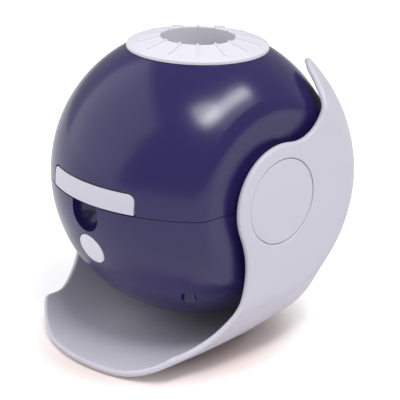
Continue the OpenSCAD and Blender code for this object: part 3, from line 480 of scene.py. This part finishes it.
# The point numbers round the edge of a grid.
def border(ids):
    return np.concatenate([ids[0], ids[1:, -1], ids[-1, -2::-1], ids[-2:0:-1, 0]])


# Two quarter arcs of radius e from an outer edge to an inner one: each point is the edge's point
# + e * (sin b * away -+ (1 - cos b) * up), for b from 0 to 90 degrees.
def roundRim(outer, inner, away, up, e, count=6):
    b = np.radians(np.linspace(0, 90, count))[1:, None, None]
    outerRim = outer + e * (np.sin(b) * away - (1 - np.cos(b)) * up)
    innerRim = inner + e * (np.sin(b) * away + (1 - np.cos(b)) * up)
    return np.vstack([outerRim, innerRim[::-1]])


# The shell: a grid on the form, the same grid one wall further in, and a rounded rim between them.
def cradleShell(c):
    eye = np.array(c["eye"])
    front, side, notch = edgeLines(c)
    half = np.vstack([front, side, notch])
    loop = evenly(np.vstack([half, (half * [-1, 1, 1])[::-1]]), c["loop"] + 1)[:-1]
    loop = soften(loop, c["softness"])
    loop, normals = castOut(eye, loop - eye, c)
    loop = loop - c["edge"] * outwardEdge(loop, normals)
    # corners of the patch: the lip's two corners and the horns' inner corners
    size = len(loop)
    goal = [front[-1], notch[0], notch[0] * [-1, 1, 1], front[-1] * [-1, 1, 1]]
    lipRight, hornRight, hornLeft, lipLeft = [int(np.argmin(np.linalg.norm(loop - g, axis=1))) for g in goal]
    stretch = lambda i, j, k: evenly(loop[np.arange(i, j if j > i else j + size) % size], k)
    low = stretch(lipLeft, lipRight + 1, c["columns"])
    right = stretch(lipRight, hornRight + 1, c["rows"])
    high = stretch(hornRight, hornLeft + 1, c["columns"])[::-1]
    left = stretch(hornLeft, lipLeft + 1, c["rows"])[::-1]
    edges = [toPlane(e, eye) for e in (low, high, left, right)]
    plane = fillPatch(*edges)
    rays = fromPlane(plane).reshape(-1, 3)
    outer, normals = castOut(eye, rays, c)
    ids = np.arange(len(outer)).reshape(c["rows"], c["columns"])
    ring = border(ids)
    away = outwardEdge(outer[ring], normals[ring])
    inner = outer - c["wall"] * normals
    rim = roundRim(outer[ring], inner[ring], away, normals[ring], c["edge"])
    faces = np.vstack([quads(ids)[:, ::-1], quads(ids + len(outer)), rimStrip(ring, rim, len(outer))])
    return np.vstack([outer, inner, rim.reshape(-1, 3)]), faces.tolist(), plane


# Lays what was turned about Z along X, on the right as (z, x, y) and on the left half a turn further.
def alongX(points, side):
    return points[:, [2, 0, 1]] * [side, side, 1]


# A flat outline (y, z) given a thickness from x = low to x = high.
def prism(outline, low, high):
    count = len(outline)
    points = np.vstack([np.insert(outline, 0, low, axis=1), np.insert(outline, 0, high, axis=1)])
    ids = np.arange(2 * count).reshape(2, count)
    sides = quads(np.hstack([ids, ids[:, :1]])).tolist()
    return points, sides + [ids[0].tolist(), ids[1][::-1].tolist()]


# Several closed surfaces as one list of points and one of faces.
def together(surfaces):
    points, faces = [], []
    for more, polygons in surfaces:
        start = sum(len(p) for p in points)
        points.append(more)
        faces += [[start + i for i in f] for f in polygons]
    return np.vstack(points), faces


# One copy of a surface at each end of the tilt axis.
def atPivots(surface):
    return [(alongX(surface[0], side), surface[1]) for side in (-1, 1)]


# One copy of a surface at each of the four feet.
def atFeet(surface, f):
    return [(surface[0] + [x, y, 0], surface[1]) for x in (-f["x"], f["x"]) for y in f["y"]]


# Cuts or joins another surface by a Boolean, whose result replaces the object's mesh.
def carve(obj, surface, operation):
    tool = makeObject(obj.name + "_tool", *surface, None)
    boolean = obj.modifiers.new("carve", "BOOLEAN")
    boolean.operation, boolean.solver, boolean.object = operation, "EXACT", tool
    bpy.context.view_layer.update()
    mesh = bpy.data.meshes.new_from_object(obj.evaluated_get(bpy.context.evaluated_depsgraph_get()))
    obj.modifiers.clear()
    obj.data = mesh
    bpy.data.objects.remove(tool)


# The pivot's bosses inside the arms, and what is cut in them: the cap's recess with a rounded rim,
# the seat, the bore, and the arc groove that stops the tilt. The feet sit in pads with round pockets.
# Cuts run 1 mm past the faces that they open.
def addPivotsAndFeet(shell, c, f, past=1):
    angles = around(144)
    insideX, outsideX = c["bossX"] - past, c["armX"] + past
    boss = plate(c["boss"], c["bossX"], c["armX"] - c["wall"] + c["sunk"], angles)
    rim = arc((c["recess"] + c["recessEdge"], c["armX"] - c["recessEdge"]), c["recessEdge"], 180, 90, 7)
    cut = np.vstack([[(0, insideX), (c["bore"], insideX), (c["bore"], c["webX"]),
                      (c["seat"], c["webX"]), (c["seat"], c["capX"]), (c["recess"], c["capX"])],
                     rim, [(rim[-1, 0], outsideX), (0, outsideX)]])
    opening = revolve(cut, angles, False)
    w, start, end = c["stopHalf"], c["stopFrom"] - 90, c["stopTo"] - 90
    tip = lambda angle: c["stop"] * np.array([math.cos(math.radians(angle)), math.sin(math.radians(angle))])
    outline = np.vstack([arc((0, 0), c["stop"] + w, start, end, 40),
                         arc(tip(end), w, end, end + 180, 12)[1:-1],
                         arc((0, 0), c["stop"] - w, end, start, 40),
                         arc(tip(start), w, start + 180, start + 360, 12)[1:-1]])
    stops = [prism(outline, insideX, c["stopX"]), prism(outline, -c["stopX"], -insideX)]
    pad = plate(f["pad"], c["floorZ"], c["floorZ"] + c["wall"], angles[::3])
    pocket = plate(f["pocket"], c["floorZ"] - past, c["floorZ"] + f["sunk"], angles[::3])
    carve(shell, together(atPivots(boss) + atFeet(pad, f)), "UNION")
    carve(shell, together(atPivots(opening) + atFeet(pocket, f)), "DIFFERENCE")
    carve(shell, together(stops), "DIFFERENCE")
    shell.data.shade_smooth()
    shell.data.set_sharp_from_angle(angle=math.radians(30))


feet = {
    "x": 24.0, "y": (-57.5, 8.0), "radius": 6.0, "tableZ": -87.4, "height": 3.0, "round": 0.7,
    "dimple": 2.6, "dimpleDepth": 0.5, "dimpleSlope": 0.6, "pad": 8.0, "pocket": 6.1, "sunk": 2.2}
points, faces, plane = cradleShell(cradle)
du, dv = np.diff(plane, axis=1)[:-1], np.diff(plane, axis=0)[:, :-1]
turn = du[..., 0] * dv[..., 1] - du[..., 1] * dv[..., 0]
print("cradle grid: folded cells", int((turn <= 0).sum()), "of", turn.size)
shell = makeObject("cradle_shell", points, faces, standPlastic)
addPivotsAndFeet(shell, cradle, feet)
takeOver(shell, "cradle", "stand")
print("cradle made:", len(shell.data.polygons), "faces")


# A foot is turned about Z: a rounded lower edge round a shallow dimple, and a flat top in its pocket.
def makeFeet(f):
    z, top, deep = f["tableZ"], f["tableZ"] + f["height"], f["dimpleDepth"]
    profile = np.vstack([[(0, z + deep), (f["dimple"] - f["dimpleSlope"], z + deep)],
                         arc((f["dimple"] + deep, z + deep), deep, 180, 270, 5),
                         arc((f["radius"] - f["round"], z + f["round"]), f["round"], -90, 0, 8),
                         [(f["radius"], top), (0, top)]])
    foot = revolve(profile, around(48), False)
    piece = makeObject("bumper_feet", *together(atFeet(foot, f)), rubber)
    takeOver(piece, "rubber_feet", "stand")


makeFeet(feet)

caps = {
    "radius": 22.1, "seatX": 62.6, "faceX": 63.62, "crownX": 64.0, "round": 0.45,
    "skirt": (18.0, 19.4), "skirtX": 61.6}


# A cap is turned about X: a skirt that sits in the arm, a rounded edge, and a face that rises as a
# parabola to its middle.
def makeCap(c, name, side):
    r = np.linspace(c["radius"] - c["round"], 0, 12)
    crown = c["faceX"] + (c["crownX"] - c["faceX"]) * (1 - (r / r[0]) ** 2)
    inside, outside = c["skirt"]
    profile = np.vstack([[(0, c["seatX"]), (inside, c["seatX"]), (inside, c["skirtX"]),
                          (outside, c["skirtX"]), (outside, c["seatX"]), (c["radius"], c["seatX"])],
                         arc((c["radius"] - c["round"], c["faceX"] - c["round"]), c["round"], 0, 86, 8),
                         np.stack([r, crown], 1)[1:]])
    points, faces = revolve(profile, around(144), False)
    piece = makeObject(name + "_cover", alongX(points, side), faces, trimPlastic)
    takeOver(piece, name, "stand")


makeCap(caps, "left_pivot_cap", -1)
makeCap(caps, "right_pivot_cap", 1)
print("feet and caps made")

# ribSide: shares of the rib's half width and of its rise there. ribEnd: places past the rib's length,
# in millimetres, and the share of the rise that is left there.
focusRing = {
    "hole": 19.0, "lip": 1.0, "topZ": 71.87, "outer": 36.4, "edge": 0.9, "edgeZ": 65.87, "band": 1.2,
    "skirt": 34.8, "skirtWall": 1.8, "skirtZ": 62.17, "skirtTopZ": 66.74, "underZ": 65.47, "bevel": 0.2,
    "sleeve": 21.3, "sleeveTopZ": 69.27, "endZ": 46.57, "ribs": 14, "turn": 7.6, "ribRise": 0.9,
    "ribHalf": 0.6, "ribLength": 11.8,
    "ribSide": ((1.0, 0), (0.88, 0.62), (0.82, 0.78), (0.73, 0.89), (0.6, 0.965), (0.4, 1), (0, 1)),
    "ribEnd": ((-0.35, 1), (-0.2, 0.97), (-0.1, 0.86), (-0.03, 0.6), (0.06, 0))}


# The ring's section is a closed profile turned about Z. Each rib is raised from the cone: the angle of
# a column is the rib's own angle + asin(offset / radius), so its sides stay parallel, and the rise is
# the product of a steep, round-topped section across it and a fade at both of its ends.
def makeFocusRing(c):
    start, end, length = c["hole"] + c["lip"], c["outer"] - c["edge"], c["ribLength"]
    slope = math.degrees(math.atan((c["topZ"] - c["edgeZ"] - c["band"] - c["edge"]) / (end - start)))
    s = math.radians(slope)
    lip = arc((start, c["topZ"] - c["lip"]), c["lip"], 180, 90 - slope, 12)
    rim = arc((end, c["edgeZ"] + c["band"]), c["edge"], 90 - slope, 0, 9)
    endAt, endLeft = np.array(c["ribEnd"]).T
    # places down the cone: nine along the ribs, five at their ends and three past them
    run = np.concatenate([np.linspace(0.08, 0.93, 9) * length, length + endAt,
                          np.linspace(0.25, 0.9, 3) * ((end - start) / math.cos(s) - length) + length])
    cone = np.stack([lip[-1, 0] + run * math.cos(s), lip[-1, 1] - run * math.sin(s)], 1)
    inSkirt = c["skirt"] - c["skirtWall"]
    low = np.array([(c["outer"], c["edgeZ"] + c["bevel"]), (c["outer"] - c["bevel"], c["edgeZ"]),
                    (c["skirt"], c["skirtTopZ"]), (c["skirt"], c["skirtZ"]), (inSkirt, c["skirtZ"]),
                    (inSkirt, c["underZ"]), (c["sleeve"], c["sleeveTopZ"]), (c["sleeve"], c["endZ"]),
                    (c["hole"], c["endZ"])])
    profile = np.vstack([lip, cone, rim, low])[::-1]
    # the ribs rise softly over the lip and end steeply
    fade = np.zeros(len(profile))
    fade[:len(lip)] = np.sin(np.linspace(0, math.pi / 2, len(lip))) ** 1.5
    fade[len(lip):len(lip) + len(run)] = np.interp(run - length, endAt, endLeft)
    sideAt, section = np.array(c["ribSide"]).T
    across = c["ribHalf"] * sideAt
    offsets = np.concatenate([-across, across[-2::-1]])
    heights = np.concatenate([section, section[-2::-1]])
    step = 2 * math.pi / c["ribs"]
    radius = profile[:, :1]
    edge = np.arcsin(c["ribHalf"] / radius)
    between = edge + (step - 2 * edge) * np.linspace(0, 1, 9)[1:-1]
    pattern = np.hstack([np.arcsin(offsets / radius), between])
    lift = np.concatenate([heights, np.zeros(between.shape[1])])
    angles = np.hstack([math.radians(c["turn"]) + i * step + pattern for i in range(c["ribs"])])
    rise = fade[::-1][:, None] * np.tile(lift, c["ribs"])[None] * c["ribRise"]
    points, faces = revolve(profile, angles, True, rise)
    piece = makeObject("focus_dial", points, faces, ringPlastic, 40)
    takeOver(piece, "focus_ring", "focus_collar")


makeFocusRing(focusRing)
print("focus ring made")

pushButton = {
    "radius": 8.6, "round": 0.7, "crown": ball["radius"] + 0.3, "flange": 9.9, "flangeZ": 62.7,
    "flangeHeight": 1.2, "bore": 7.2, "boreZ": 71.2, "stem": 2.2, "stemZ": 58.9, "below": 21.1}


# The button is turned about its own axis: a stem, a flange, and a crown on a ball's curve,
# sqrt(crown^2 - r^2), with a rounded edge.
def makeButton(c):
    inner = c["radius"] - c["round"]
    lean = math.degrees(math.asin(inner / (c["crown"] - c["round"])))
    centreZ = math.sqrt((c["crown"] - c["round"]) ** 2 - inner ** 2)
    edge = arc((inner, centreZ), c["round"], 0, 90 - lean, 8)
    r = np.linspace(edge[-1, 0], 0, 10)[1:]
    flangeTop = c["flangeZ"] + c["flangeHeight"]
    profile = np.vstack([[(0, c["stemZ"]), (c["stem"], c["stemZ"]), (c["stem"], c["boreZ"]),
                          (c["bore"], c["boreZ"]), (c["bore"], c["flangeZ"]), (c["flange"], c["flangeZ"]),
                          (c["flange"], flangeTop), (c["radius"], flangeTop)],
                         edge, np.stack([r, np.sqrt(c["crown"] ** 2 - r ** 2)], 1)])
    points, faces = revolve(profile, around(96), False)
    points = points @ turned("X", math.radians(90 + c["below"])).T
    piece = makeObject("push_button", points, faces, buttonPlastic)
    takeOver(piece, "power_button", "button")


makeButton(pushButton)

trayFace = {
    "half": 30.5, "bottomZ": -1.2, "topZ": 10.0, "corner": 4.0, "outer": ball["radius"], "wall": 3.0,
    "edge": 0.45, "rows": 25, "cornerRows": 15, "columns": 97, "crowding": 0.9}


# The drawer's front: rows of constant height, whose half width in the corners is
# half - corner + sqrt(corner^2 - up^2), laid on the ball's curve y = -sqrt(R^2 - x^2 - z^2), and the same
# on the inner curve. Columns crowd towards the ends as a sine does. A rounded rim joins the two.
def makeTrayFace(c):
    e = c["edge"]
    corner, top, low, half = c["corner"] - e, c["topZ"] - e, c["bottomZ"] + e, c["half"] - e
    straight = top - corner - low
    up = np.concatenate([np.linspace(0, 1, c["rows"] - c["cornerRows"] + 1)[:-1] * straight,
                         straight + corner * np.sin(np.linspace(0, math.pi / 2, c["cornerRows"]))])
    z = low + up
    width = half - corner + np.sqrt(np.maximum(corner ** 2 - np.maximum(z - top + corner, 0) ** 2, 0))
    crowd = math.pi / 2 * c["crowding"]
    x = width[:, None] * np.sin(np.linspace(-1, 1, c["columns"]) * crowd) / math.sin(crowd)
    z = np.repeat(z[:, None], c["columns"], 1)
    depth = lambda r, x, z: -np.sqrt(r ** 2 - x ** 2 - z ** 2)
    outer = np.stack([x, depth(c["outer"], x, z), z], 2).reshape(-1, 3)
    inner = np.stack([x, depth(c["outer"] - c["wall"], x, z), z], 2).reshape(-1, 3)
    ids = np.arange(len(outer)).reshape(x.shape)
    ring, forward = border(ids), np.array([0, -1.0, 0])
    away = outwardEdge(outer[ring] * [1, 0, 1], forward)
    rim = roundRim(outer[ring], inner[ring], away, forward, e)
    strip = rimStrip(ring, rim, len(outer))
    faces = np.vstack([quads(ids), quads(ids + len(outer))[:, ::-1], strip[:, ::-1]])
    points = np.vstack([outer, inner, rim.reshape(-1, 3)])
    piece = makeObject("tray_face", points, faces.tolist(), trimPlastic)
    takeOver(piece, "tray_front", "tray")


makeTrayFace(trayFace)
print("button and tray front made")


# A painted warm shadow: inside an ellipse round the object's foot, the paper's colour is tinted darker
# and warmer. The shift and squeeze bring the ellipse's rim to a distance of 1. Over the tint's range, in
# that measure, the painted shadow fades, and over nearRange and farRange the glow goes from its first
# value to its second.
paper = {
    "half": 6.0, "grain": 2.5, "light": "#f8f8fa", "dark": "#f4f4f6", "rough": 0.6, "paintedShadow": "#dccac5",
    "shift": (-0.1, 0.25, 0), "squeeze": (16.5, 13.0, 1), "paintedShadowRange": (0.75, 1.2),
    "nearRange": (0.52, 1.2), "nearGlow": (0.02, 0.4), "farRange": (3.0, 30.0), "farGlow": (0.0, 0.35),
    "reflected": 0.33}


# The floor is a flat sheet of white paper, whose faint grain keeps it from looking like a flat colour.
def makeFloor(c):
    mesh = bpy.data.meshes.new("floor")
    s = c["half"]
    mesh.from_pydata([(-s, -s, 0), (s, -s, 0), (s, s, 0), (-s, s, 0)], [], [(0, 1, 2, 3)])
    floor = bpy.data.objects.new("floor", mesh)
    scene.collection.objects.link(floor)
    mat, tree = emptyMaterial("paper sweep white")
    place = add(tree, "ShaderNodeTexCoord").outputs["Object"]
    fine = add(tree, "ShaderNodeTexNoise", {"Vector": place}, {"Scale": 1 / (c["grain"] * mm)})
    foot = add(tree, "ShaderNodeMapping", {"Vector": place}, {"Location": c["shift"], "Scale": c["squeeze"]})
    away = add(tree, "ShaderNodeVectorMath", {0: foot.outputs[0]}, operation="LENGTH").outputs["Value"]
    # painted shadow: near the object's foot the paper's colour is mixed towards the darker, warm tint
    paintedShadowFade = add(tree, "ShaderNodeMapRange", {0: away},
               {1: c["paintedShadowRange"][0], 2: c["paintedShadowRange"][1], 3: 0.0, 4: 1.0})
    plain = add(tree, "ShaderNodeMix", {0: fine.outputs["Fac"]},
                {6: linear(c["dark"]), 7: linear(c["light"])}, data_type="RGBA")
    tint = add(tree, "ShaderNodeMix", {0: paintedShadowFade.outputs[0], 7: plain.outputs[2]}, {6: linear(c["paintedShadow"])},
               data_type="RGBA")
    shader = add(tree, "ShaderNodeBsdfPrincipled", {"Base Color": tint.outputs[2]}, {"Roughness": c["rough"]})
    # the glow leaves the shadow by the object, and makes up for the lamps' fall-off far out
    close, far = [add(tree, "ShaderNodeMapRange", {0: away}, dict(zip((1, 2, 3, 4), c[span] + c[glow])))
                  for span, glow in (("nearRange", "nearGlow"), ("farRange", "farGlow"))]
    lit = add(tree, "ShaderNodeMath", {0: close.outputs[0], 1: far.outputs[0]}, operation="ADD")
    # the camera sees all of the glow, and reflections a third, as in a satin ball over white paper
    path = add(tree, "ShaderNodeLightPath")
    part = add(tree, "ShaderNodeMath", {0: path.outputs["Is Glossy Ray"]}, {1: c["reflected"]},
               operation="MULTIPLY")
    seen = add(tree, "ShaderNodeMath", {0: path.outputs["Is Camera Ray"], 1: part.outputs[0]},
               operation="MAXIMUM")
    level = add(tree, "ShaderNodeMath", {0: seen.outputs[0], 1: lit.outputs[0]}, operation="MULTIPLY")
    glow = add(tree, "ShaderNodeEmission", {"Strength": level.outputs[0]})
    both = add(tree, "ShaderNodeAddShader", {0: shader.outputs[0], 1: glow.outputs[0]})
    add(tree, "ShaderNodeOutputMaterial", {0: both.outputs[0]})
    mesh.materials.append(mat)


makeFloor(paper)

# The key is a thin strip softbox high on the right and the top a small one beside its front end, which
# together draw the crescent above the ball's fillet; the fill is a broad, weak one on the front left.
lamps = {
    "key": {"spot": (0.71, 0.05, 1.5), "size": (1.35, 0.2), "power": 13.5},
    "top": {"spot": (0.66, -0.36, 1.5), "size": (0.5, 0.38), "power": 5.5},
    "fill": {"spot": (-1.8, -1.7, 1.5), "size": (4.2, 3.4), "power": 46}}
studio = {"aim": (0, -0.14, 0.09), "light": 0.4, "white": 1.0}  # what the world gives, and what is seen of it
for name, lamp in lamps.items():
    data = bpy.data.lights.new(name, "AREA")
    data.shape = "RECTANGLE"
    data.size, data.size_y = lamp["size"]
    data.energy = lamp["power"]
    obj = bpy.data.objects.new(name, data)
    scene.collection.objects.link(obj)
    obj.location = lamp["spot"]
    obj.rotation_mode = "QUATERNION"
    obj.rotation_quaternion = (Vector(studio["aim"]) - Vector(lamp["spot"])).to_track_quat("-Z", "Y")

world = bpy.data.worlds.new("studio")
scene.world = world
world.use_nodes = True
tree = world.node_tree
tree.nodes.clear()
path = add(tree, "ShaderNodeLightPath")
seen = add(tree, "ShaderNodeMath", {0: path.outputs["Is Camera Ray"], 1: path.outputs["Is Transmission Ray"]},
           operation="MAXIMUM")
level = add(tree, "ShaderNodeMix", {0: seen.outputs[0]}, {2: studio["light"], 3: studio["white"]},
            data_type="FLOAT")
back = add(tree, "ShaderNodeBackground", {"Strength": level.outputs[0]}, {"Color": (1, 1, 1, 1)})
add(tree, "ShaderNodeOutputWorld", {0: back.outputs[0]})
scene.view_settings.view_transform = "Standard"
print("floor and light ready")
